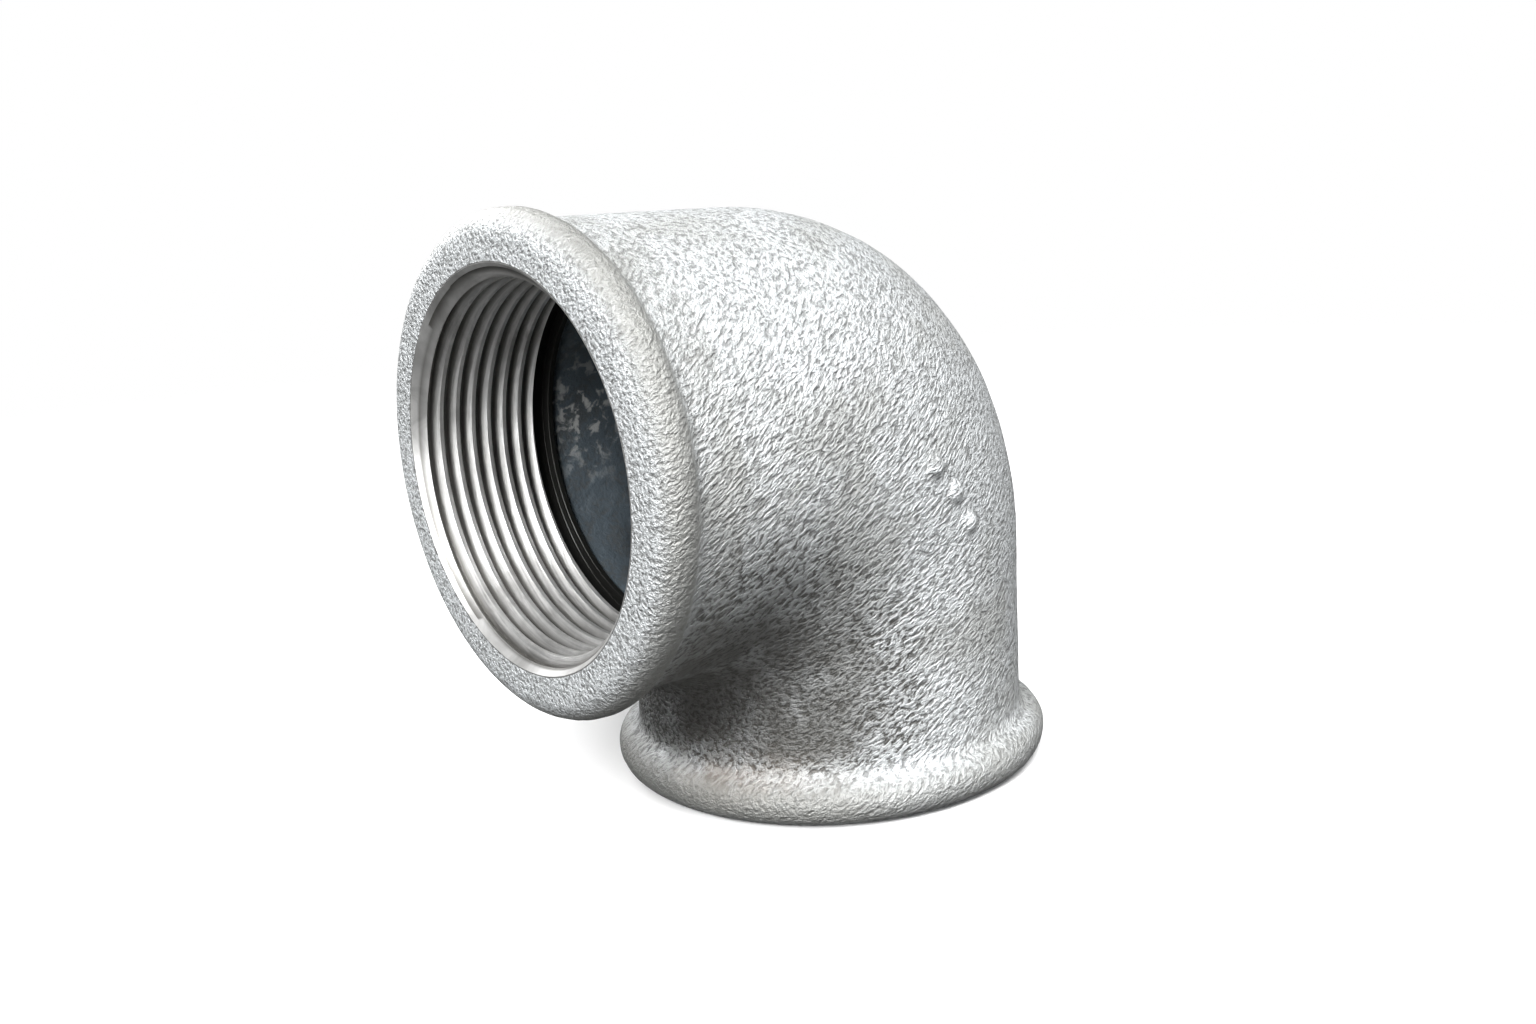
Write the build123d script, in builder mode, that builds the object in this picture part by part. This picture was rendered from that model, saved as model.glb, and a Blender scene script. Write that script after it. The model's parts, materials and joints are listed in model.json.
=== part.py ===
"""A 90 degree pipe elbow with two female threaded ports, cast in one piece.

Frame: +Z is up, the origin is the centre of the lower port's end face, and the
side port opens towards -X. The casting is symmetric about the plane Y = 0.
"""
import os
from math import atan2, cos, pi, radians, sin, sqrt, tan

from build123d import *

# Elbow of nominal size 1 1/2 inch (DN 40), with equal ports
bend_radius = 14.5  # centreline of the outside of the bend
crotch_radius = 7.0  # rounding of the inside corner, in the plane Y = 0

# Reinforcing bead round each mouth
bead_height = 6.5  # how far it stands out over the thread's roots
bead_front_rounding = 3.0
bead_crown_depth = 3.2  # depth below the end face at which it starts to fall back
bead_back_rounding = 2.5
bead_root_rounding = 1.9  # hollow where it meets the neck

# Parallel pipe thread of 11 turns to the inch, right-handed. Its crests are cut flat at the
# open side of their tolerance, so the thread is shallower than its full form.
thread_pitch = 25.4 / 11
thread_major_radius = 47.803 / 2
thread_cut_depth = 1.269
thread_full_form = 0.640327  # full depth over pitch
thread_half_angle = 27.5
thread_end = 17.2  # depth of the last full turn below the end face

# Wall of the casting. The body is a little fuller at the side port than at the lower one.
lower_neck_wall = 3.3  # outside the thread's roots
side_neck_wall = 5.0
bend_wall = 4.0  # around the cored chamber, at the lower neck

# Inside of each port, from the end face inwards
mouth_clearance = 0.5  # from the thread's roots out to the countersink's edge, on the end face
countersink_half_angle = 45.0
relief_width = 2.4  # plain groove that the thread runs out into
relief_clearance = 0.15  # how far the relief is cut below the thread's roots
lip_width = 0.8  # narrow land left between the relief and the cored chamber
chamber_straight = 0.9  # length of the chamber before it starts to bend
chamber_corner_radius = 3.5  # rounding of the chamber's inside corner

# Row of raised pips on one cheek, where a foundry counts its pattern cavities
pip_bend_angles = (33.0, 40.0, 47.0)  # places along the bend, from the lower leg
pip_cheek_angle = 83.0  # place round the section, from its outside towards -Y
pip_ball_radius = 1.9
pip_height = 0.75

bend_steps = 12  # how finely the bend is divided
bore_seam_angle = 50.0  # where each bore's surface closes, clear of the thread's start

# Worked out from the sizes above
bead_radius = thread_major_radius + bead_height
lower_neck_radius = thread_major_radius + lower_neck_wall
side_neck_radius = thread_major_radius + side_neck_wall
chamber_radius = lower_neck_radius - bend_wall
mouth_radius = thread_major_radius + mouth_clearance
thread_crest_radius = thread_major_radius - thread_cut_depth
countersink_depth = (mouth_radius - thread_crest_radius) / tan(radians(countersink_half_angle))
relief_radius = thread_major_radius + relief_clearance
relief_end = thread_end + relief_width
lip_end = relief_end + lip_width
chamber_start = lip_end + chamber_straight
centre_to_end = chamber_start + chamber_corner_radius + chamber_radius

# Each port's plane lies on its end face, with Z pointing into the fitting
lower_port = Plane(origin=(0, 0, 0), x_dir=(1, 0, 0), z_dir=(0, 0, 1))
side_port = Plane(origin=(-centre_to_end, 0, centre_to_end), x_dir=(0, 0, -1), z_dir=(1, 0, 0))
ports = (lower_port, side_port)


def radial_plane(port, angle):
    """The plane through a port's axis whose X is the distance from it and Y the depth."""
    outward = port.x_dir * cos(radians(angle)) + port.y_dir * sin(radians(angle))
    return Plane(origin=port.origin, x_dir=outward, z_dir=outward.cross(port.z_dir))


class BendSection:
    """An oval section of the bend, on a plane that swings about the inside corner's centre.

    The angle is 0 on the lower leg and 90 on the side leg. The outside of the bend is an
    arc about the bend's centre, and each leg runs straight into it.
    """

    def __init__(self, lower_radius, side_radius, corner_radius, angle):
        radius = lower_radius + (side_radius - lower_radius) * sin(radians(angle)) ** 2
        reach = radius + corner_radius
        offset = reach - bend_radius
        outside_radius = bend_radius + radius
        turn = radians(angle)
        from_leg = min(turn, pi / 2 - turn)
        if from_leg < atan2(offset, reach + radius):
            far_side = (reach + radius) / cos(from_leg)
        else:
            along = offset * (cos(turn) + sin(turn))
            far_side = along + sqrt(along**2 - 2 * offset**2 + outside_radius**2)
        self.outward = Vector(cos(turn), 0, sin(turn))
        self.travel = Vector(-sin(turn), 0, cos(turn))
        self.cross_radius = radius
        self.long_radius = max((far_side - corner_radius) / 2, radius)
        pivot = Vector(-reach, 0, centre_to_end - reach)
        self.centre = pivot + self.outward * (corner_radius + self.long_radius)

    def plane(self):
        return Plane(origin=self.centre, x_dir=self.outward, z_dir=self.travel)

    def surface_plane(self, angle):
        """A plane that touches the section, its Z outwards, at an angle from the outside to -Y."""
        cheek = Vector(0, -1, 0)
        step_out = self.outward * (self.long_radius * cos(radians(angle)))
        step_across = cheek * (self.cross_radius * sin(radians(angle)))
        normal_out = self.outward * (cos(radians(angle)) / self.long_radius)
        normal_across = cheek * (sin(radians(angle)) / self.cross_radius)
        return Plane(
            origin=self.centre + step_out + step_across,
            x_dir=self.travel,
            z_dir=normal_out + normal_across,
        )


def bend_sections(lower_radius, side_radius, corner_radius):
    """The sections of one bend, from the lower leg to the side leg."""
    angles = [90 * step / bend_steps for step in range(bend_steps + 1)]
    return [BendSection(lower_radius, side_radius, corner_radius, angle) for angle in angles]


# One thread groove in the frame of a port, from the countersink to the relief
groove_overrun = 0.25  # how far the cut stands proud of the bore
groove_open_radius = thread_crest_radius - groove_overrun
flank_slope = tan(radians(thread_half_angle))
groove_root_width = thread_pitch / 2 - thread_full_form * thread_pitch * flank_slope
groove_open_width = groove_root_width + 2 * (thread_major_radius - groove_open_radius) * flank_slope
groove_start = -0.6  # clear of the countersink, so the first turn starts in the open
groove_stop = thread_end + relief_width / 2

with BuildPart() as thread_groove:
    with BuildLine():
        Helix(
            pitch=thread_pitch,
            height=groove_stop - groove_start,
            radius=thread_crest_radius,
            center=(0, 0, groove_start),
        )
    with BuildSketch(radial_plane(lower_port, 0)):
        with BuildLine():
            Polyline(
                (groove_open_radius, groove_start - groove_open_width / 2),
                (thread_major_radius, groove_start - groove_root_width / 2),
                (thread_major_radius, groove_start + groove_root_width / 2),
                (groove_open_radius, groove_start + groove_open_width / 2),
                close=True,
            )
        make_face()
    sweep(is_frenet=True)

# The space inside: the bore of each port, and the cored chamber between them
with BuildPart() as waterway:
    for section in bend_sections(chamber_radius, chamber_radius, chamber_corner_radius):
        with BuildSketch(section.plane()):
            Ellipse(section.long_radius, section.cross_radius)
    loft()
    for port in ports:
        with BuildSketch(radial_plane(port, bore_seam_angle)):
            with BuildLine():
                Polyline(
                    (0, 0),
                    (mouth_radius, 0),
                    (thread_crest_radius, countersink_depth),
                    (thread_crest_radius, thread_end),
                    (relief_radius, thread_end),
                    (relief_radius, relief_end),
                    (thread_crest_radius, relief_end),
                    (thread_crest_radius, lip_end),
                    (chamber_radius, lip_end),
                    (chamber_radius, chamber_start),
                    (0, chamber_start),
                    close=True,
                )
            make_face()
        revolve(axis=Axis(port.origin, port.z_dir))

# The casting: bend, then bead and neck of each port, then everything cut out of it
back_centre = (bead_radius - bead_back_rounding, bead_crown_depth)
back_to_root = bead_back_rounding + bead_root_rounding
back_share = bead_back_rounding / back_to_root
pip_sink = pip_ball_radius - pip_height

with BuildPart() as elbow_casting:
    for section in bend_sections(lower_neck_radius, side_neck_radius, crotch_radius):
        with BuildSketch(section.plane()):
            Ellipse(section.long_radius, section.cross_radius)
    loft()
    for port, neck_radius in ((lower_port, lower_neck_radius), (side_port, side_neck_radius)):
        # The back of the bead is a round that runs straight into the hollow at its root
        across = neck_radius + bead_root_rounding - back_centre[0]
        along = sqrt(back_to_root**2 - across**2)
        back_end = (back_centre[0] + across * back_share, back_centre[1] + along * back_share)
        neck_end = centre_to_end - neck_radius - crotch_radius
        with BuildSketch(radial_plane(port, 0)):
            with BuildLine():
                face_edge = (bead_radius - bead_front_rounding, 0)
                crown_front = (bead_radius, bead_front_rounding)
                crown_back = (bead_radius, bead_crown_depth)
                neck_start = (neck_radius, bead_crown_depth + along)
                Line((0, 0), face_edge)
                TangentArc(face_edge, crown_front, tangent=(1, 0))
                Line(crown_front, crown_back)
                back = TangentArc(crown_back, back_end, tangent=(0, 1))
                TangentArc(back_end, neck_start, tangent=back % 1)
                Polyline(neck_start, (neck_radius, neck_end), (0, neck_end), (0, 0))
            make_face()
        revolve(axis=Axis(port.origin, port.z_dir))
    for angle in pip_bend_angles:
        section = BendSection(lower_neck_radius, side_neck_radius, crotch_radius, angle)
        with Locations(section.surface_plane(pip_cheek_angle).offset(-pip_sink)):
            Sphere(pip_ball_radius, rotation=(90, 0, 0))
    add(waterway.part, mode=Mode.SUBTRACT)
    with Locations(*ports):
        add(thread_groove.part, mode=Mode.SUBTRACT)

elbow_casting.part.label = "elbow_casting"
os.makedirs("parts", exist_ok=True)
export_step(elbow_casting.part, "parts/elbow_casting.step")
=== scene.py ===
"""Visual model of a galvanised, beaded pipe elbow, laid out as an add-on and run as a script.

The elbow is one casting. It stands on its lower port, and its side port opens towards -X.
Its skin, its threads and its cored inside are one closed mesh with a finish for each.
"""
import json
import math

import bmesh
import bpy
import numpy as np
from mathutils import Matrix, Vector, noise


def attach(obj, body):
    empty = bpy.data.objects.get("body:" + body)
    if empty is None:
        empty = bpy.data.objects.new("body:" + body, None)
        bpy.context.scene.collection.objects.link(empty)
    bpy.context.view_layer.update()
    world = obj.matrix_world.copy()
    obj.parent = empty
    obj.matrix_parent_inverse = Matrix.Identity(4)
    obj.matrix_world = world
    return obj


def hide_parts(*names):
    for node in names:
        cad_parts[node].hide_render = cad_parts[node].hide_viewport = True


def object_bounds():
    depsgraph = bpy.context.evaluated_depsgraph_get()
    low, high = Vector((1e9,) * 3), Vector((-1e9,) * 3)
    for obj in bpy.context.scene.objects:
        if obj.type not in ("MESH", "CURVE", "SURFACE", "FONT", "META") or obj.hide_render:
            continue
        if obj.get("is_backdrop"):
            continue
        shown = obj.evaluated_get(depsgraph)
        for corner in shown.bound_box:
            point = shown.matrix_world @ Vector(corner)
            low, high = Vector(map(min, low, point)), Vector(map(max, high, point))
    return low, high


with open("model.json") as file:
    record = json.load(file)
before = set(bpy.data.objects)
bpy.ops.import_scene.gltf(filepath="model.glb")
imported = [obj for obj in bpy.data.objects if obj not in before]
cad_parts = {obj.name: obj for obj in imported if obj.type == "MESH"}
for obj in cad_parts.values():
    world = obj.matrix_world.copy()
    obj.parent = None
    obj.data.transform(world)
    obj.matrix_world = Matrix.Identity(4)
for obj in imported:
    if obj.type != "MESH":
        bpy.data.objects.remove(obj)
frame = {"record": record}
CAD_LOW, CAD_HIGH = (tuple(corner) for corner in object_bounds())
THREAD_MOUNT = next(m for m in frame["record"]["mounts"] if m["name"] == "lower_port")

bl_info = {
    "name": "Galvanised Pipe Elbow",
    "version": (1, 0, 0),
    "blender": (4, 5, 0),
    "location": "View3D > Sidebar > Pipe Elbow",
    "description": "Builds a beaded and threaded pipe elbow with its galvanised finish",
    "category": "Mesh",
}

MM = 0.001
CASTING = "elbow_casting"
SKIN, THREAD, CORE = range(3)  # material slots of the casting

FLANK_SLOPE = math.tan(math.radians(27.5))  # half the angle of the thread
FULL_FORM = 0.640327  # height of the thread's full form over its pitch
THREAD_START = -0.6  # depth of the groove's start, in millimetres
CORNER_BEVEL = 0.06  # on the corners of the bore, in millimetres
SHARP_ANGLE = 25  # corners over this many degrees stay crisp
BEND_STEPS, CHAMBER_STEPS, COLUMNS = 96, 36, 264
PIP_SWINGS = (33, 40, 47)  # degrees along the bend, from the lower leg
PIP_TURN = -83  # degrees round the section, from its outside

FLOOR_LIT, FLOOR_SEEN = 0.03, 0.92  # grey of the floor to the light and to the eye
WORLD_LIT, WORLD_SEEN = 0.03, 1.0
LIGHTS = (  # name, place, target, size and watts
    ("overhead", (-0.10, -0.40, 0.85), (0, 0, 0.04), (0.7, 0.6), 14.5),
    ("left", (-0.75, -0.35, 0.6), (0, 0, 0.04), (0.4, 0.4), 14.5),
    ("right", (0.7, -0.35, 0.35), (0, 0, 0.04), (0.3, 0.5), 2.0),
    ("back", (0.05, 0.85, 0.45), (0, 0, 0.04), (0.5, 0.4), 7.0),
    ("low_left", (-0.80, -0.40, 0.07), (0, 0, 0.01), (0.35, 0.1), 2.0),
    ("low", (-0.10, -0.85, 0.12), (0, 0, 0.02), (0.5, 0.2), 1.5),
)


def length(name, description, millimetres):
    """A size that is shown with its unit."""
    return bpy.props.FloatProperty(
        name=name,
        description=description,
        default=millimetres * MM,
        min=0.0,
        precision=5,
        unit="LENGTH",
        subtype="DISTANCE",
    )


def colour(name, description, rgb):
    return bpy.props.FloatVectorProperty(
        name=name,
        description=description,
        default=rgb,
        min=0.0,
        max=1.0,
        size=3,
        subtype="COLOR",
    )


def share(name, description, default):
    return bpy.props.FloatProperty(
        name=name, description=description, default=default, min=0.0, max=1.0, subtype="FACTOR"
    )


class ElbowSizes(bpy.types.PropertyGroup):
    """Sizes of the casting. The frame gives those that it holds."""

    centre_to_end: length("Centre to end", "From the crossing of the axes to an end face", -CAD_LOW[0] / MM)
    bead_radius: length("Bead radius", "Outside of the bead round each mouth", CAD_HIGH[1] / MM)
    bead_front_rounding: length("Bead front", "Rounding from the end face to the bead's crown", 3.0)
    bead_crown_depth: length("Bead crown", "Depth at which the bead starts to fall back", 3.2)
    bead_back_rounding: length("Bead back", "Rounding of the bead's back", 2.5)
    bead_root_rounding: length("Bead root", "Hollow between the bead and the neck", 1.9)
    lower_neck_radius: length("Lower neck", "Outside of the body at the lower port", 27.2)
    side_neck_radius: length("Side neck", "Outside of the body at the side port", 28.9)
    bend_radius: length("Bend radius", "Centreline of the outside of the bend", 14.5)
    crotch_radius: length("Crotch radius", "Rounding of the inside corner", 7.0)
    mouth_radius: length("Mouth radius", "Edge of the countersink on the end face", 24.4)
    thread_crest_radius: length("Thread crest", "Inside of the thread", THREAD_MOUNT["dims"]["r_mm"])
    thread_root_radius: length("Thread root", "Bottom of the thread's groove", 23.9)
    thread_pitch: length("Thread pitch", "Eleven turns to the inch", 25.4 / 11)
    thread_end: length("Thread end", "Depth of the last full turn", 17.2)
    relief_radius: length("Relief radius", "Plain groove behind the thread", 24.05)
    relief_width: length("Relief width", "Width of the plain groove", 2.4)
    lip_width: length("Lip width", "Land between the relief and the cored inside", 0.8)
    chamber_radius: length("Chamber radius", "Cored space between the ports", 23.2)
    chamber_corner_radius: length("Chamber corner", "Rounding of its inside corner", 3.5)
    lump_height: length("Cast lumps", "Unevenness of the cast skin", 0.11)
    core_lump_height: length("Core lumps", "Unevenness of the cored wall", 0.22)
    pip_ball_radius: length("Pip ball", "Radius of the ball that each raised pip is part of", 1.9)
    pip_height: length("Pip height", "How far a pip stands out of the cheek", 0.75)


class ElbowFinish(bpy.types.PropertyGroup):
    """Colours of the zinc skin, the cut threads and the cored wall."""

    zinc: colour("Zinc", "Clean galvanised skin", (0.60, 0.62, 0.63))
    dull_zinc: colour("Dull zinc", "Weathered patches of the skin", (0.44, 0.45, 0.445))
    # Dirt and painted shade: the hollows of the grain are painted dark where shade falls in them.
    pit_dirt_and_shade: colour("Pit", "Dirt in the hollows of the grain", (0.10, 0.10, 0.095))
    # Soot with painted shade: the crotch between the ports is painted dark where shade falls in it.
    soot_and_crotch_shade: colour("Soot", "Grey smudge in the crotch", (0.085, 0.082, 0.075))
    stain: colour("Stain", "Faint brown stain beside the lower bead", (0.33, 0.26, 0.20))
    cut_metal: colour("Cut metal", "Crests of the thread", (0.74, 0.74, 0.73))
    # Painted shade: the roots of the thread are painted dark, as the shade in its grooves; the same grey
    # dulls patches of the thread.
    groove: colour("Groove", "Roots of the thread", (0.17, 0.165, 0.155))
    # Painted shade: the relief and the lip behind the thread are painted near black, as the shade deep in
    # the bore.
    relief: colour("Relief", "Shaded groove behind the thread", (0.03, 0.03, 0.028))
    bead_dirt: colour("Bead dirt", "Dull crowns of the beads", (0.25, 0.25, 0.235))
    core: colour("Core", "Cored wall of the waterway", (0.10, 0.125, 0.145))
    core_bloom: colour("Core bloom", "Pale bloom on the cored wall", (0.50, 0.51, 0.50))
    # How strong the soot and the painted crotch shade are.
    soot_and_shade_amount: share("Soot amount", "How dark the crotch is smudged", 0.85)
    stain_amount: share("Stain amount", "How strong the brown stain is", 0.55)


# Shape of the casting


class Port:
    """One end of the casting. Its points are given by radius, depth and turn."""

    def __init__(self, name, origin, inward, outward, neck_radius, groove_depth, lead):
        self.name = name
        self.origin = np.array(origin)
        self.inward = np.array(inward, dtype=float)
        self.outward = np.array(outward, dtype=float)  # where the turn is zero
        self.neck_radius = neck_radius
        self.groove_depth = groove_depth  # depth of the groove's middle at turn zero
        self.lead = lead  # +1 where the thread runs deeper as the turn grows

    def ring(self, radius, depth, turns):
        """Points at that radius and depth, which may differ from turn to turn."""
        radius = np.broadcast_to(radius, turns.shape)[:, None]
        depth = np.broadcast_to(depth, turns.shape)[:, None]
        across = np.array((0.0, 1.0, 0.0))
        arm = self.outward * np.cos(turns)[:, None] + across * np.sin(turns)[:, None]
        return self.origin + self.inward * depth + arm * radius


def make_ports(sizes):
    reach = sizes.centre_to_end
    first_groove = THREAD_START * MM
    half_turn = sizes.thread_pitch / 2
    lower = Port("lower", (0, 0, 0), (0, 0, 1), (1, 0, 0), sizes.lower_neck_radius, first_groove, 1)
    side = Port(
        "side",
        (-reach, 0, reach),
        (1, 0, 0),
        (0, 0, 1),
        sizes.side_neck_radius,
        first_groove + half_turn,
        -1,
    )
    return lower, side


def bend_ring(sizes, lower_radius, side_radius, corner_radius, swing, turns):
    """An oval ring of the bend, on a plane that swings about the inside corner's centre."""
    radius = lower_radius + (side_radius - lower_radius) * math.sin(swing) ** 2
    reach = radius + corner_radius
    offset = reach - sizes.bend_radius
    outside_radius = sizes.bend_radius + radius
    from_leg = min(swing, math.pi / 2 - swing)
    if from_leg < math.atan2(offset, reach + radius):
        far_side = (reach + radius) / math.cos(from_leg)
    else:
        along = offset * (math.cos(swing) + math.sin(swing))
        far_side = along + math.sqrt(along**2 - 2 * offset**2 + outside_radius**2)
    long_radius = max((far_side - corner_radius) / 2, radius)
    outward = np.array((math.cos(swing), 0.0, math.sin(swing)))
    pivot = np.array((-reach, 0.0, sizes.centre_to_end - reach))
    centre = pivot + outward * (corner_radius + long_radius)
    across = np.array((0.0, 1.0, 0.0))
    arm = outward * (long_radius * np.cos(turns))[:, None] + across * (radius * np.sin(turns))[:, None]
    return centre + arm


def arc(centre, radius, start, end, steps):
    """Points of an arc in the plane of radius and depth, angles from the radius axis."""
    angles = np.linspace(start, end, steps + 1)
    return [(centre[0] + radius * math.cos(a), centre[1] + radius * math.sin(a)) for a in angles]


def bead_profile(sizes, port):
    """Radius and depth from the mouth's edge over the bead to the end of the neck."""
    spacing = 0.6 * MM
    bead, front = sizes.bead_radius, sizes.bead_front_rounding
    back, root = sizes.bead_back_rounding, sizes.bead_root_rounding
    crown = sizes.bead_crown_depth
    edge = sizes.mouth_radius + 0.12 * MM
    flat = np.linspace(edge, bead - front, 7)
    profile = [(radius, 0.0) for radius in flat[:-1]]
    profile += arc((bead - front, front), front, -math.pi / 2, 0, 10)
    back_centre = (bead - back, crown)
    across = port.neck_radius + root - back_centre[0]
    along = math.sqrt((back + root) ** 2 - across**2)
    turn = math.atan2(along, across)
    profile += arc(back_centre, back, 0, turn, 7)
    root_centre = (port.neck_radius + root, crown + along)
    profile += arc(root_centre, root, turn + math.pi, math.pi, 6)[1:]
    neck_end = sizes.centre_to_end - port.neck_radius - sizes.crotch_radius
    steps = max(2, round((neck_end - root_centre[1]) / spacing))
    for depth in np.linspace(root_centre[1], neck_end, steps + 1)[1:-1]:
        profile.append((port.neck_radius, depth))
    return profile


def root_half_width(sizes):
    """Half the width of the flat at the bottom of the groove."""
    return sizes.thread_pitch / 4 - FULL_FORM / 2 * sizes.thread_pitch * FLANK_SLOPE


def groove_radius(sizes, offset):
    """Radius of the thread at a depth measured from the middle of the nearest groove."""
    radius = sizes.thread_root_radius - (np.abs(offset) - root_half_width(sizes)) / FLANK_SLOPE
    return np.clip(radius, sizes.thread_crest_radius, sizes.thread_root_radius)


def bore_radius(sizes, port, depth, turns):
    """Radius of the countersunk and threaded bore."""
    middle = port.groove_depth + port.lead * sizes.thread_pitch * turns / math.tau
    offset = (depth - middle + sizes.thread_pitch / 2) % sizes.thread_pitch - sizes.thread_pitch / 2
    return np.maximum(groove_radius(sizes, offset), sizes.mouth_radius - depth)


def groove_rows(sizes):
    """Where the rows of the mesh lie in one turn of the thread, from the groove's middle."""
    root_half = root_half_width(sizes)
    crest_half = root_half + (sizes.thread_root_radius - sizes.thread_crest_radius) * FLANK_SLOPE
    bevel = CORNER_BEVEL * MM
    right = (root_half - bevel, root_half + bevel, crest_half - bevel, crest_half + bevel)
    return sorted([-row for row in right] + list(right))


class Skin:
    """The rows of points that make the closed surface, in order, and what each point is."""

    def __init__(self, turns):
        self.turns = turns
        self.columns = len(turns)
        self.points = []
        self.marks = []  # zone, depth below the port's face, radius and height on the thread
        self.faces = []
        self.face_slots = []
        self.count = 0

    def add_points(self, points, zone, depth=0.0, radius=0.0, crest=0.0):
        """Stores points and gives their numbers."""
        self.points.append(points)
        marks = np.zeros((len(points), 4))
        marks[:, 0], marks[:, 1], marks[:, 2], marks[:, 3] = zone, depth, radius, crest
        self.marks.append(marks)
        numbers = np.arange(self.count, self.count + len(points))
        self.count += len(points)
        return numbers

    def join(self, first, second, slot):
        """Faces between two closed rows."""
        self.join_open(np.append(first, first[0]), np.append(second, second[0]), slot)

    def join_open(self, first, second, slot):
        """Faces between two rows whose last entries close them. Shared points make triangles."""
        for corners in zip(first[:-1], first[1:], second[1:], second[:-1]):
            face = [int(n) for k, n in enumerate(corners) if n != corners[k - 1]]
            if len(face) > 2:
                self.faces.append(face)
                self.face_slots.append(slot)


FACE, BEAD, BODY, BORE, CHAMBER = range(5)  # zones of the surface


def outer_rows(skin, sizes, lower, side):
    """Rows from the lower mouth's edge over the outside to the side mouth's edge."""
    rows = []

    def port_rows(port, profile):
        for radius, depth in profile:
            zone = FACE if depth < 0.9 * MM else BEAD
            points = port.ring(radius, depth, skin.turns)
            rows.append(skin.add_points(points, zone, depth, radius))

    port_rows(lower, bead_profile(sizes, lower))
    pip_crowding = 0.45  # rows stand closer together where the pips are
    for step in range(BEND_STEPS + 1):
        even = step / BEND_STEPS
        swing = math.pi / 2 * (even + pip_crowding * math.sin(math.tau * even) / math.tau)
        points = bend_ring(
            sizes,
            sizes.lower_neck_radius,
            sizes.side_neck_radius,
            sizes.crotch_radius,
            swing,
            skin.turns,
        )
        rows.append(skin.add_points(points, BODY))
    port_rows(side, bead_profile(sizes, side)[::-1])
    for first, second in zip(rows, rows[1:]):
        skin.join(first, second, SKIN)
    return rows[0], rows[-1]


def threaded_rows(skin, sizes, port):
    """Rows of one port from its countersink's edge to its lip, and their slots."""
    turns = skin.turns
    start = sizes.mouth_radius - sizes.thread_root_radius
    end = sizes.thread_end
    pitch = sizes.thread_pitch

    def bore_row(radius, depth, crest=1.0):
        points = port.ring(radius, depth, turns)
        return skin.add_points(points, BORE, depth, radius, crest)

    rows = [bore_row(sizes.mouth_radius - 0.05 * MM, 0.05 * MM)]
    for depth in np.linspace(0.15 * MM, start, 3):
        rows.append(bore_row(sizes.mouth_radius - depth, depth))
    for first, second in zip(rows, rows[1:]):
        skin.join(first, second, THREAD)

    # The rows of the thread run along its helix, and stop at both ends of the cut
    end_radius = bore_radius(sizes, port, end, turns)
    end_crest = crest_share(sizes, end_radius)
    end_row = skin.add_points(port.ring(end_radius, end, turns), BORE, end, end_radius, end_crest)
    in_turn = groove_rows(sizes)
    per_turn = len(in_turn)
    first_turn = math.floor((start - port.groove_depth) / pitch) - 2
    last_turn = math.ceil((end - port.groove_depth) / pitch) + 2
    depths = [
        port.groove_depth + pitch * number + row
        for number in range(first_turn, last_turn + 1)
        for row in in_turn
    ]
    snap = 0.02 * MM
    helix_rows = []
    for at_zero in depths:
        depth = at_zero + port.lead * pitch * turns / math.tau
        numbers = np.where(depth < start + snap, rows[-1], end_row)
        inside = (depth > start + snap) & (depth < end - snap)
        if inside.any():
            radius = bore_radius(sizes, port, depth, turns)
            points = port.ring(radius, depth, turns)[inside]
            crest = crest_share(sizes, radius)[inside]
            numbers[inside] = skin.add_points(points, BORE, depth[inside], radius[inside], crest)
        helix_rows.append(numbers)
    last = len(helix_rows) - 1
    for number in range(last):
        after_turn = [min(max(n + port.lead * per_turn, 0), last) for n in (number, number + 1)]
        first = np.append(helix_rows[number], helix_rows[after_turn[0]][0])
        second = np.append(helix_rows[number + 1], helix_rows[after_turn[1]][0])
        skin.join_open(first, second, THREAD)

    # Relief, lip and shoulder, with a small bevel at each corner
    bevel = CORNER_BEVEL * MM
    relief, crest, chamber = sizes.relief_radius, sizes.thread_crest_radius, sizes.chamber_radius
    relief_end = end + sizes.relief_width
    lip_end = relief_end + sizes.lip_width
    inner = [end_row]
    for radius, depth in (
        (relief - bevel, end + bevel / 4),
        (relief, end + bevel),
        (relief, end + sizes.relief_width / 2),
        (relief, relief_end - bevel),
        (relief - bevel, relief_end),
        (crest + bevel, relief_end),
        (crest, relief_end + bevel),
        (crest, lip_end - bevel),
        (crest + bevel, lip_end),
        (chamber - bevel, lip_end),
    ):
        inner.append(bore_row(radius, depth, -1.0))
    for first, second in zip(inner, inner[1:]):
        skin.join(first, second, THREAD)
    return rows[0], inner[-1], lip_end


def crest_share(sizes, radius):
    """0 in the groove and 1 on the crest. The relief and the lip are marked -1 elsewhere."""
    return (sizes.thread_root_radius - radius) / (sizes.thread_root_radius - sizes.thread_crest_radius)


def chamber_rows(skin, sizes, lower, side, lip_end):
    """Rows of the cored space, from the lower port's shoulder to the side port's."""
    radius, corner = sizes.chamber_radius, sizes.chamber_corner_radius
    bend_start = sizes.centre_to_end - radius - corner
    straight = [lip_end + 0.1 * MM, (lip_end + bend_start) / 2]
    rows = [skin.add_points(lower.ring(radius, depth, skin.turns), CHAMBER) for depth in straight]
    for step in range(CHAMBER_STEPS + 1):
        swing = math.pi / 2 * step / CHAMBER_STEPS
        points = bend_ring(sizes, radius, radius, corner, swing, skin.turns)
        rows.append(skin.add_points(points, CHAMBER))
    for depth in straight[::-1]:
        rows.append(skin.add_points(side.ring(radius, depth, skin.turns), CHAMBER))
    for first, second in zip(rows, rows[1:]):
        skin.join(first, second, CORE)
    return rows[0], rows[-1]


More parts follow.
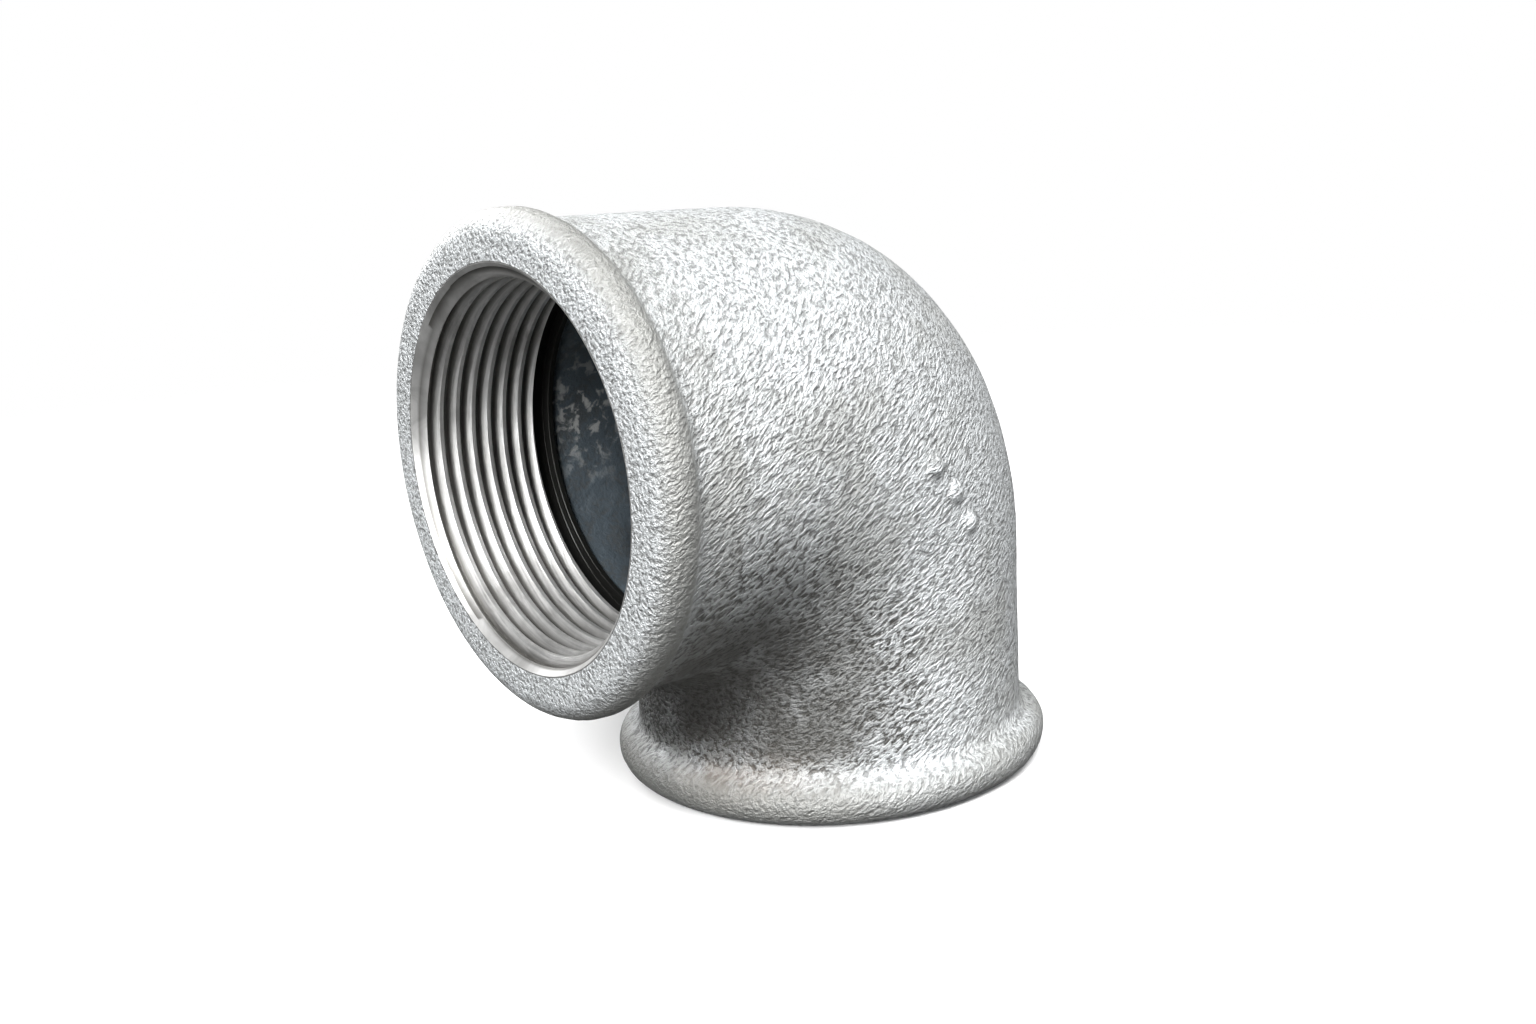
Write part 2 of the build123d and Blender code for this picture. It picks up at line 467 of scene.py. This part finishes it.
def crowded_turns(columns):
    """Angles round the casting, closer together on the -Y cheek, where the pips are."""
    fine = np.linspace(0, math.tau, 2000)
    density = 1 + 1.5 * np.exp(-(((fine - math.radians(PIP_TURN % 360)) / 0.30) ** 2))
    reached = np.concatenate(([0], np.cumsum((density[1:] + density[:-1]) / 2)))
    return np.interp(np.arange(columns) / columns, reached / reached[-1], fine)


def surface_normals(points, faces):
    """Normals of the points, from the faces round each."""
    quads = np.array([face if len(face) == 4 else face + face[-1:] for face in faces])
    a, b, c, d = (points[quads[:, k]] for k in range(4))
    face_normals = np.cross(c - a, d - b)
    normals = np.zeros_like(points)
    for k in range(4):
        np.add.at(normals, quads[:, k], face_normals)
    return normals / np.maximum(np.linalg.norm(normals, axis=1, keepdims=True), 1e-12)


def soft_noise(points, wavelength, seed):
    """Smooth noise from -1 to 1 at each point."""
    shifted = points / wavelength + seed
    return np.array([noise.noise(Vector(p)) for p in shifted])


def smooth_step(value, low, high):
    t = np.clip((value - low) / (high - low), 0, 1)
    return t * t * (3 - 2 * t)


def pip_centres(sizes):
    """Middles of the three raised pips on the -Y cheek."""
    turn = np.array([math.radians(PIP_TURN)])
    for swing in PIP_SWINGS:
        yield bend_ring(
            sizes,
            sizes.lower_neck_radius,
            sizes.side_neck_radius,
            sizes.crotch_radius,
            math.radians(swing),
            turn,
        )[0]


def unevenness(sizes, points, zones, radii):
    """How far each point moves out, for the cast skin, the pips and the cored wall."""
    move = np.zeros(len(points))
    outer = zones <= BODY
    lumps = 0.6 * soft_noise(points[outer], 11 * MM, 3.7) + 0.4 * soft_noise(points[outer], 4 * MM, 9.1)
    waves = 0.22 * soft_noise(points[outer], 1.9 * MM, 5.3)
    fade = smooth_step(radii[outer], sizes.mouth_radius, sizes.mouth_radius + 1.2 * MM)
    fade = np.where(zones[outer] == FACE, 0.25 + 0.5 * fade, 1.0)
    move[outer] = sizes.lump_height * (lumps + waves) * fade
    move[zones == FACE] = np.minimum(move[zones == FACE], 0.0)  # nothing stands proud of a face
    core = zones == CHAMBER
    rough = soft_noise(points[core], 7 * MM, 1.3) + 0.5 * soft_noise(points[core], 2.6 * MM, 8.2)
    move[core] = sizes.core_lump_height * rough
    body = zones == BODY
    raised = np.zeros(body.sum())
    base = sizes.pip_ball_radius - sizes.pip_height
    for centre in pip_centres(sizes):
        distance = np.linalg.norm(points[body] - centre, axis=1)
        ball = np.sqrt(np.maximum(sizes.pip_ball_radius**2 - distance**2, 0)) - base
        skirt = 0.12 * MM * np.exp(-((distance / (1.7 * MM)) ** 4))
        raised = np.maximum(raised, np.maximum(ball, 0) + skirt)
    move[body] += raised
    return move


def make_casting_mesh(sizes):
    """The closed mesh, with attributes that tell the finish where it is."""
    skin = Skin(crowded_turns(COLUMNS))
    lower, side = make_ports(sizes)
    first, last = outer_rows(skin, sizes, lower, side)
    lower_mouth, lower_inner, lip_end = threaded_rows(skin, sizes, lower)
    side_mouth, side_inner, lip_end = threaded_rows(skin, sizes, side)
    lower_core, side_core = chamber_rows(skin, sizes, lower, side, lip_end)
    skin.join(first, lower_mouth, THREAD)
    skin.join(last, side_mouth, THREAD)
    skin.join(lower_inner, lower_core, CORE)
    skin.join(side_inner, side_core, CORE)

    mesh = bpy.data.meshes.new(CASTING)
    points = np.concatenate(skin.points)
    marks = np.concatenate(skin.marks)
    mesh.from_pydata(points.tolist(), [], skin.faces)
    mesh.polygons.foreach_set("material_index", skin.face_slots)
    make_faces_consistent(mesh)
    faces = [list(polygon.vertices) for polygon in mesh.polygons]
    zones, depths, radii, crests = marks.T
    normals = surface_normals(points, faces)
    move = unevenness(sizes, points, zones, radii)
    ragged = (zones == FACE) & (radii < sizes.mouth_radius + 0.2 * MM)
    chips = soft_noise(points, 1.1 * MM, 2.2) + 0.6 * soft_noise(points, 0.5 * MM, 6.1)
    moved = points + normals * move[:, None]
    moved[ragged] -= normals[ragged] * (0.05 * MM * (1 + chips[ragged]))[:, None]
    mesh.vertices.foreach_set("co", moved.ravel())
    mesh.update()
    mesh.polygons.foreach_set("use_smooth", [True] * len(mesh.polygons))
    mesh.set_sharp_from_angle(angle=math.radians(SHARP_ANGLE))  # crisp corners on the cut thread

    masks = finish_masks(sizes, points, zones, depths, radii)
    masks["crest"] = crests
    masks["port_depth"] = depths / MM
    masks["port_radius"] = radii / MM
    for name, values in masks.items():
        attribute = mesh.attributes.new(name, "FLOAT", "POINT")
        attribute.data.foreach_set("value", values.astype(np.float32))
    return mesh


def make_faces_consistent(mesh):
    """Turns every face outwards."""
    work = bmesh.new()
    work.from_mesh(mesh)
    bmesh.ops.recalc_face_normals(work, faces=work.faces)
    if work.calc_volume(signed=True) < 0:
        bmesh.ops.reverse_faces(work, faces=work.faces)
    work.to_mesh(mesh)
    work.free()


def finish_masks(sizes, points, zones, depths, radii):
    """Where the finish and the painted shade change over the casting, each from 0 to 1."""
    x, y, z = points.T
    outer = zones <= BODY
    reach = sizes.lower_neck_radius + sizes.crotch_radius
    from_crotch = np.hypot(x + reach, z - (sizes.centre_to_end - reach))
    between_beads = smooth_step(z, 5.5 * MM, 10 * MM) * smooth_step(x, -43 * MM, -38 * MM) * outer
    # Soot and painted shade: darker towards the crotch, between the beads.
    soot_and_crotch_shade = smooth_step(from_crotch, 34 * MM, 11 * MM) * between_beads
    face = np.where(zones == FACE, 1.0, 0.45 * (zones == BEAD) * smooth_step(depths, 6 * MM, 3 * MM))
    bearing = np.degrees(np.arctan2(y, x))
    beside_bead = np.exp(-(((z - 5.5 * MM) / (3.0 * MM)) ** 2))
    stain = beside_bead * np.exp(-(((bearing + 158) / 20) ** 2)) * outer
    bead = (zones == BEAD) | (zones == FACE)
    crown = smooth_step(radii, sizes.bead_radius - 2.4 * MM, sizes.bead_radius) * bead
    crown *= 0.6 + 0.4 * smooth_step(x, -8 * MM, -24 * MM)
    bloom_middle = np.array((-22.6, 23.1, 50.4)) * MM
    bloom = np.exp(-((np.linalg.norm(points - bloom_middle, axis=1) / (7 * MM)) ** 2))
    return {"soot_and_crotch_shade": soot_and_crotch_shade, "face": face, "stain": stain, "crown": crown, "bloom": bloom}


# Finish


def add_node(tree, kind, place, **settings):
    """A node with its settings. Names of inputs are set in their own call."""
    node = tree.nodes.new(kind)
    node.location = (place[0] * 200, place[1] * -170)
    for name, value in settings.items():
        setattr(node, name, value)
    return node


def set_inputs(node, values):
    for name, value in values.items():
        node.inputs[name].default_value = value


def math_node(tree, place, operation, first, second):
    """A Math node on two sockets or numbers."""
    node = add_node(tree, "ShaderNodeMath", place, operation=operation)
    for socket, value in zip(node.inputs, (first, second)):
        if isinstance(value, (int, float)):
            socket.default_value = value
        else:
            tree.links.new(value, socket)
    return node.outputs[0]


def range_node(tree, place, value, low, high, to_low=0.0, to_high=1.0):
    """Maps a value from one range to another, smoothly and clamped."""
    node = add_node(tree, "ShaderNodeMapRange", place, interpolation_type="SMOOTHSTEP")
    set_inputs(node, {"From Min": low, "From Max": high, "To Min": to_low, "To Max": to_high})
    tree.links.new(value, node.inputs["Value"])
    return node.outputs["Result"]


def noise_node(tree, place, vector, scale, detail, roughness=0.55):
    node = add_node(tree, "ShaderNodeTexNoise", place)
    set_inputs(node, {"Scale": scale, "Detail": detail, "Roughness": roughness})
    tree.links.new(vector, node.inputs["Vector"])
    return node.outputs["Fac"]


def mix_colour(tree, place, share_socket, first, second, blend="MIX"):
    """Mixes two colours, each a socket or an RGB triple."""
    node = add_node(tree, "ShaderNodeMix", place, data_type="RGBA", blend_type=blend)
    if isinstance(share_socket, float):
        node.inputs[0].default_value = share_socket
    else:
        tree.links.new(share_socket, node.inputs[0])
    for socket, value in zip((node.inputs[6], node.inputs[7]), (first, second)):
        if isinstance(value, bpy.types.NodeSocket):
            tree.links.new(value, socket)
        else:
            socket.default_value = (*value, 1.0)
    return node.outputs[2]


def attribute(tree, place, name):
    """One of the casting's own masks."""
    return add_node(tree, "ShaderNodeAttribute", place, attribute_name=name).outputs["Fac"]


def new_group(name, inputs, outputs):
    """An empty node group whose sockets are numbers, vectors or colours."""
    group = bpy.data.node_groups.new(name, "ShaderNodeTree")
    for socket, kind, default in inputs:
        made = group.interface.new_socket(socket, in_out="INPUT", socket_type=kind)
        if default is not None:
            made.default_value = default
    for socket, kind in outputs:
        group.interface.new_socket(socket, in_out="OUTPUT", socket_type=kind)
    entry = add_node(group, "NodeGroupInput", (-5, 0))
    leave = add_node(group, "NodeGroupOutput", (8, 0))
    return group, entry.outputs, leave.inputs


def make_cast_grain_group():
    """Wrinkles and fine grain of a sand-cast surface, as a height and a mask of its hollows."""
    number = "NodeSocketFloat"
    group, given, result = new_group(
        "Cast grain",
        [
            ("Vector", "NodeSocketVector", None),
            ("Wrinkle Scale", number, 700.0),
            ("Grain Scale", number, 2200.0),
            ("Wrinkle Share", number, 0.6),
        ],
        [("Height", number), ("Hollows", number)],
    )
    sway = noise_node(group, (-4, 2), given["Vector"], 110.0, 2.0)
    bent = add_node(group, "ShaderNodeVectorMath", (-2, 2), operation="MULTIPLY_ADD")
    bent.inputs[1].default_value = (0.0025, 0.0025, 0.0025)
    group.links.new(sway, bent.inputs[0])
    group.links.new(given["Vector"], bent.inputs[2])
    drawn = add_node(group, "ShaderNodeMapping", (-1, 2), vector_type="TEXTURE")
    set_inputs(drawn, {"Rotation": (0.0, math.radians(-32), 0.0), "Scale": (2.3, 1.5, 1.0)})
    group.links.new(bent.outputs[0], drawn.inputs["Vector"])
    wrinkle = add_node(group, "ShaderNodeTexNoise", (1, 2))
    set_inputs(wrinkle, {"Detail": 2.0, "Roughness": 0.5, "Distortion": 0.35})
    group.links.new(drawn.outputs[0], wrinkle.inputs["Vector"])
    group.links.new(given["Wrinkle Scale"], wrinkle.inputs["Scale"])
    grain = add_node(group, "ShaderNodeTexNoise", (1, 0))
    set_inputs(grain, {"Detail": 3.0, "Roughness": 0.6})
    group.links.new(given["Vector"], grain.inputs["Vector"])
    group.links.new(given["Grain Scale"], grain.inputs["Scale"])
    both = add_node(group, "ShaderNodeMix", (3, 1), data_type="FLOAT")
    group.links.new(given["Wrinkle Share"], both.inputs[0])
    group.links.new(grain.outputs["Fac"], both.inputs[2])
    group.links.new(wrinkle.outputs["Fac"], both.inputs[3])
    group.links.new(both.outputs[0], result["Height"])
    hollows = range_node(group, (5, 0), both.outputs[0], 0.54, 0.40)
    group.links.new(hollows, result["Hollows"])
    return group


def make_blotch_group():
    """Soft uneven patches from 0 to 1."""
    number = "NodeSocketFloat"
    group, given, result = new_group(
        "Blotches",
        [
            ("Vector", "NodeSocketVector", None),
            ("Scale", number, 90.0),
            ("Low", number, 0.4),
            ("High", number, 0.62),
        ],
        [("Mask", number)],
    )
    patches = add_node(group, "ShaderNodeTexNoise", (0, 0))
    set_inputs(patches, {"Detail": 5.0, "Roughness": 0.6, "Distortion": 0.4})
    group.links.new(given["Vector"], patches.inputs["Vector"])
    group.links.new(given["Scale"], patches.inputs["Scale"])
    spread = add_node(group, "ShaderNodeMapRange", (3, 0), interpolation_type="SMOOTHSTEP")
    group.links.new(patches.outputs["Fac"], spread.inputs["Value"])
    group.links.new(given["Low"], spread.inputs["From Min"])
    group.links.new(given["High"], spread.inputs["From Max"])
    group.links.new(spread.outputs["Result"], result["Mask"])
    return group


def use_group(tree, place, group, vector, **values):
    """Places a group and sets its own values."""
    node = add_node(tree, "ShaderNodeGroup", place, node_tree=group)
    set_inputs(node, {name.replace("_", " "): value for name, value in values.items()})
    tree.links.new(vector, node.inputs["Vector"])
    return node.outputs


def new_material(name, metallic, specular):
    """A material with its Principled shader, and the position that its textures follow."""
    material = bpy.data.materials.new(name)
    material.use_nodes = True
    tree = material.node_tree
    shader = tree.nodes["Principled BSDF"]
    set_inputs(shader, {"Metallic": metallic, "Specular IOR Level": specular})
    position = add_node(tree, "ShaderNodeTexCoord", (-12, 0)).outputs["Object"]
    return material, tree, shader, position


def bump(tree, shader, height, strength, distance):
    node = add_node(tree, "ShaderNodeBump", (-1, 4))
    set_inputs(node, {"Strength": strength, "Distance": distance})
    tree.links.new(height, node.inputs["Height"])
    tree.links.new(node.outputs["Normal"], shader.inputs["Normal"])


def make_skin_material(finish, grain_group, blotch_group):
    """Galvanised skin: wrinkled grain with dirt and painted shade in its hollows, soot and painted shade in
    the crotch, rough end faces and dull bead crowns.
    """
    material, tree, shader, position = new_material("galvanised_skin", 0.45, 0.5)
    face = attribute(tree, (-12, 3), "face")
    soot_and_crotch_shade = attribute(tree, (-12, 4), "soot_and_crotch_shade")
    stain = attribute(tree, (-12, 5), "stain")
    crown = attribute(tree, (-12, 6), "crown")
    wrinkled = use_group(
        tree, (-9, 3), grain_group, position, Wrinkle_Scale=2200.0, Grain_Scale=3400.0, Wrinkle_Share=0.7
    )
    crystals = use_group(
        tree, (-9, 5), grain_group, position, Wrinkle_Scale=1700.0, Grain_Scale=2100.0, Wrinkle_Share=0.3
    )
    patches = use_group(tree, (-9, 1), blotch_group, position, Scale=70.0, Low=0.42, High=0.66)["Mask"]
    smudge = use_group(tree, (-9, 0), blotch_group, position, Scale=160.0, Low=0.28, High=0.62)["Mask"]

    base = mix_colour(tree, (-6, 0), patches, finish.zinc, finish.dull_zinc)
    worn = mix_colour(tree, (-5, 0), face, base, finish.zinc)
    hollows = add_node(tree, "ShaderNodeMix", (-7, 3), data_type="FLOAT")
    tree.links.new(face, hollows.inputs[0])
    tree.links.new(wrinkled["Hollows"], hollows.inputs[2])
    tree.links.new(crystals["Hollows"], hollows.inputs[3])
    # The grain's pits grow darker near the soot and the painted crotch shade.
    near_soot_and_shade = range_node(tree, (-7, 4), soot_and_crotch_shade, 0.02, 0.35, 0.62, 1.0)
    # Dirt and painted shade in the hollows of the grain.
    hollow_dirt_and_shade = math_node(tree, (-5, 3), "MULTIPLY", hollows.outputs[0], near_soot_and_shade)
    pitted = mix_colour(tree, (-4, 0), hollow_dirt_and_shade, worn, finish.pit_dirt_and_shade)
    # Soot and painted shade in the crotch, in patches.
    soot_and_shade_patches = range_node(tree, (-7, 5), smudge, 0, 1, 0.62, 1)
    patchy_soot_and_shade = math_node(tree, (-6, 4), "MULTIPLY", soot_and_crotch_shade, soot_and_shade_patches)
    soot_and_shade_share = math_node(tree, (-5, 4), "MULTIPLY", patchy_soot_and_shade, finish.soot_and_shade_amount)
    sooted_and_shaded = mix_colour(tree, (-3, 0), soot_and_shade_share, pitted, finish.soot_and_crotch_shade)
    patchy_stain = math_node(tree, (-6, 6), "MULTIPLY", stain, smudge)
    stain_share = math_node(tree, (-5, 6), "MULTIPLY", patchy_stain, finish.stain_amount)
    stained = mix_colour(tree, (-2, 0), stain_share, sooted_and_shaded, finish.stain)
    crown_dirt = math_node(tree, (-5, 7), "MULTIPLY", crown, 0.85)
    dulled = mix_colour(tree, (-1, 0), crown_dirt, stained, finish.bead_dirt)
    tree.links.new(dulled, shader.inputs["Base Color"])

    height = add_node(tree, "ShaderNodeMix", (-4, 5), data_type="FLOAT")
    tree.links.new(face, height.inputs[0])
    tree.links.new(wrinkled["Height"], height.inputs[2])
    tree.links.new(crystals["Height"], height.inputs[3])
    roughness = range_node(tree, (-3, 3), patches, 0, 1, 0.46, 0.60)
    tree.links.new(roughness, shader.inputs["Roughness"])
    bump(tree, shader, height.outputs[0], 1.0, 0.0010)
    return material


def make_thread_material(finish, blotch_group):
    """Cut thread: bright crests, painted shade in the roots, painted shade on the relief and the lip, and
    fine turning lines.
    """
    material, tree, shader, position = new_material("cut_thread", 0.75, 0.5)
    crest = attribute(tree, (-12, 3), "crest")
    depth = attribute(tree, (-12, 4), "port_depth")
    radius = attribute(tree, (-12, 5), "port_radius")
    along = math_node(tree, (-10, 4), "ADD", depth, radius)
    wander = noise_node(tree, (-10, 2), position, 60.0, 2.0)
    line_at = add_node(tree, "ShaderNodeCombineXYZ", (-8, 4))
    tree.links.new(along, line_at.inputs["X"])
    tree.links.new(wander, line_at.inputs["Y"])
    lines = noise_node(tree, (-6, 4), line_at.outputs[0], 9.0, 4.0, 0.65)
    patches = use_group(tree, (-9, 0), blotch_group, position, Scale=120.0, Low=0.35, High=0.7)["Mask"]
    # Painted shade: the roots are darker than the crests, as shade in the grooves.
    height_share = range_node(tree, (-8, 1), crest, 0.0, 0.85)
    metal = mix_colour(tree, (-6, 0), height_share, finish.groove, finish.cut_metal)
    dull_share = math_node(tree, (-6, 1), "MULTIPLY", patches, 0.4)
    dulled = mix_colour(tree, (-5, 0), dull_share, metal, finish.groove)
    # Painted shade on the relief and the lip.
    relief_shaded = mix_colour(tree, (-4, 0), range_node(tree, (-6, -1), crest, 0.0, -0.8), dulled, finish.relief)
    streaks = range_node(tree, (-5, 2), lines, 0.3, 0.7, 0.75, 1.0)
    streaked = mix_colour(tree, (-3, 0), 1.0, relief_shaded, streaks, "MULTIPLY")
    tree.links.new(streaked, shader.inputs["Base Color"])
    tree.links.new(range_node(tree, (-4, 3), lines, 0.3, 0.7, 0.30, 0.48), shader.inputs["Roughness"])
    bump(tree, shader, lines, 0.35, 0.00012)
    return material


def make_core_material(finish, grain_group, blotch_group):
    """Cored wall: dark blue-grey, rough, with dirt and painted shade in its hollows and a pale bloom on one
    side.
    """
    material, tree, shader, position = new_material("cored_wall", 0.35, 0.5)
    bloom = attribute(tree, (-12, 3), "bloom")
    rough = use_group(
        tree, (-9, 3), grain_group, position, Wrinkle_Scale=420.0, Grain_Scale=1500.0, Wrinkle_Share=0.5
    )
    flecks = use_group(tree, (-9, 0), blotch_group, position, Scale=520.0, Low=0.5, High=0.62)["Mask"]
    pale = math_node(tree, (-6, 2), "MULTIPLY", bloom, flecks)
    # Dirt and painted shade in the hollows of the cored wall.
    hollow_dirt_and_shade = math_node(tree, (-6, 3), "MULTIPLY", rough["Hollows"], 0.5)
    pitted = mix_colour(tree, (-5, 0), hollow_dirt_and_shade, finish.core, finish.pit_dirt_and_shade)
    bloomed = mix_colour(tree, (-4, 0), pale, pitted, finish.core_bloom)
    tree.links.new(bloomed, shader.inputs["Base Color"])
    tree.links.new(range_node(tree, (-4, 3), flecks, 0, 1, 0.38, 0.55), shader.inputs["Roughness"])
    bump(tree, shader, rough["Height"], 0.6, 0.0005)
    return material


# Stage


def soft_light(name, place, target, size, watts):
    data = bpy.data.lights.new(name, "AREA")
    data.shape = "RECTANGLE"
    data.size, data.size_y = size
    data.energy = watts
    light = bpy.data.objects.new(name, data)
    bpy.context.scene.collection.objects.link(light)
    light.location = place
    light.rotation_euler = (Vector(target) - Vector(place)).to_track_quat("-Z", "Y").to_euler()


def make_floor():
    """A round pale floor that fades into the pale surroundings."""
    bpy.ops.mesh.primitive_circle_add(vertices=96, radius=1.5, fill_type="NGON")
    floor = bpy.context.object
    floor.name = "floor"
    floor.location.z = -0.05 * MM
    material = bpy.data.materials.new("pale_floor")
    material.use_nodes = True
    tree = material.node_tree
    shader = tree.nodes["Principled BSDF"]
    set_inputs(shader, {"Roughness": 0.9, "Specular IOR Level": 0.1})
    seen = add_node(tree, "ShaderNodeLightPath", (-6, 2)).outputs["Is Camera Ray"]
    tint = mix_colour(tree, (-3, 0), seen, (FLOOR_LIT,) * 3, (FLOOR_SEEN,) * 3)
    tree.links.new(tint, shader.inputs["Base Color"])
    position = add_node(tree, "ShaderNodeTexCoord", (-8, 4)).outputs["Object"]
    distance = add_node(tree, "ShaderNodeVectorMath", (-6, 4), operation="LENGTH")
    tree.links.new(position, distance.inputs[0])
    shown = range_node(tree, (-4, 4), distance.outputs["Value"], 0.12, 0.6, 1.0, 0.0)
    tree.links.new(shown, shader.inputs["Alpha"])
    floor.data.materials.append(material)
    floor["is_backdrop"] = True


def make_world():
    """White where it is seen, and a dark grey where it lights the casting."""
    world = bpy.data.worlds.new("studio")
    world.use_nodes = True
    tree = world.node_tree
    background = tree.nodes["Background"]
    seen = add_node(tree, "ShaderNodeLightPath", (-6, 0)).outputs["Is Camera Ray"]
    strength = add_node(tree, "ShaderNodeMix", (-3, 0), data_type="FLOAT")
    tree.links.new(seen, strength.inputs[0])
    strength.inputs[2].default_value = WORLD_LIT
    strength.inputs[3].default_value = WORLD_SEEN
    tree.links.new(strength.outputs[0], background.inputs["Strength"])
    set_inputs(background, {"Color": (1.0, 1.0, 1.0, 1.0)})
    bpy.context.scene.world = world
    bpy.context.scene.view_settings.view_transform = "Standard"


def make_camera():
    """Looks at the elbow from its side port's corner, a little from above."""
    azimuth, elevation, roll = (math.radians(angle) for angle in (-39.84, 12.58, -3.69))
    distance = 189.9 * MM
    target = Vector((-9.11, 0.0, 35.9)) * MM
    back = Vector(
        (
            math.sin(azimuth) * math.cos(elevation),
            -math.cos(azimuth) * math.cos(elevation),
            math.sin(elevation),
        )
    )
    data = bpy.data.cameras.new("camera")
    data.sensor_width = 36.0
    data.lens = 32.74
    data.clip_start, data.clip_end = 0.01, 20.0
    camera = bpy.data.objects.new("camera", data)
    bpy.context.scene.collection.objects.link(camera)
    level = (-back).to_track_quat("-Z", "Y").to_matrix()
    turned = level @ Matrix.Rotation(roll, 3, "Z")
    camera.matrix_world = Matrix.Translation(target + back * distance) @ turned.to_4x4()
    bpy.context.scene.camera = camera


# Add-on


class ELBOW_OT_build_casting(bpy.types.Operator):
    """Builds the elbow's casting with its skin, threads and cored wall"""

    bl_idname = "elbow.build_casting"
    bl_label = "Build Casting"

    def execute(self, context):
        sizes = context.scene.elbow_sizes
        finish = context.scene.elbow_finish
        mesh = make_casting_mesh(sizes)
        grain_group = make_cast_grain_group()
        blotch_group = make_blotch_group()
        mesh.materials.append(make_skin_material(finish, grain_group, blotch_group))
        mesh.materials.append(make_thread_material(finish, blotch_group))
        mesh.materials.append(make_core_material(finish, grain_group, blotch_group))
        casting = bpy.data.objects.new("galvanised_elbow", mesh)
        context.scene.collection.objects.link(casting)
        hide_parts(CASTING)
        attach(casting, "root")
        return {"FINISHED"}


class ELBOW_OT_build_stage(bpy.types.Operator):
    """Lays the floor and sets the lights and the camera"""

    bl_idname = "elbow.build_stage"
    bl_label = "Build Stage"

    def execute(self, context):
        make_floor()
        make_world()
        for light in LIGHTS:
            soft_light(*light)
        make_camera()
        return {"FINISHED"}


class ELBOW_PT_sidebar(bpy.types.Panel):
    """Sizes, colours and build buttons of the elbow"""

    bl_idname = "ELBOW_PT_sidebar"
    bl_label = "Pipe Elbow"
    bl_space_type = "VIEW_3D"
    bl_region_type = "UI"
    bl_category = "Pipe Elbow"

    def draw(self, context):
        layout = self.layout
        for settings in (context.scene.elbow_sizes, context.scene.elbow_finish):
            column = layout.column(align=True)
            for name in settings.bl_rna.properties.keys():
                if name not in ("rna_type", "name"):
                    column.prop(settings, name)
        layout.operator(ELBOW_OT_build_casting.bl_idname)
        layout.operator(ELBOW_OT_build_stage.bl_idname)


CLASSES = (
    ElbowSizes,
    ElbowFinish,
    ELBOW_OT_build_casting,
    ELBOW_OT_build_stage,
    ELBOW_PT_sidebar,
)


def register():
    for cls in CLASSES:
        bpy.utils.register_class(cls)
    bpy.types.Scene.elbow_sizes = bpy.props.PointerProperty(type=ElbowSizes)
    bpy.types.Scene.elbow_finish = bpy.props.PointerProperty(type=ElbowFinish)


def unregister():
    del bpy.types.Scene.elbow_finish
    del bpy.types.Scene.elbow_sizes
    for cls in reversed(CLASSES):
        bpy.utils.unregister_class(cls)


def main():
    register()
    bpy.ops.elbow.build_casting()
    bpy.ops.elbow.build_stage()


if __name__ == "__main__":
    main()
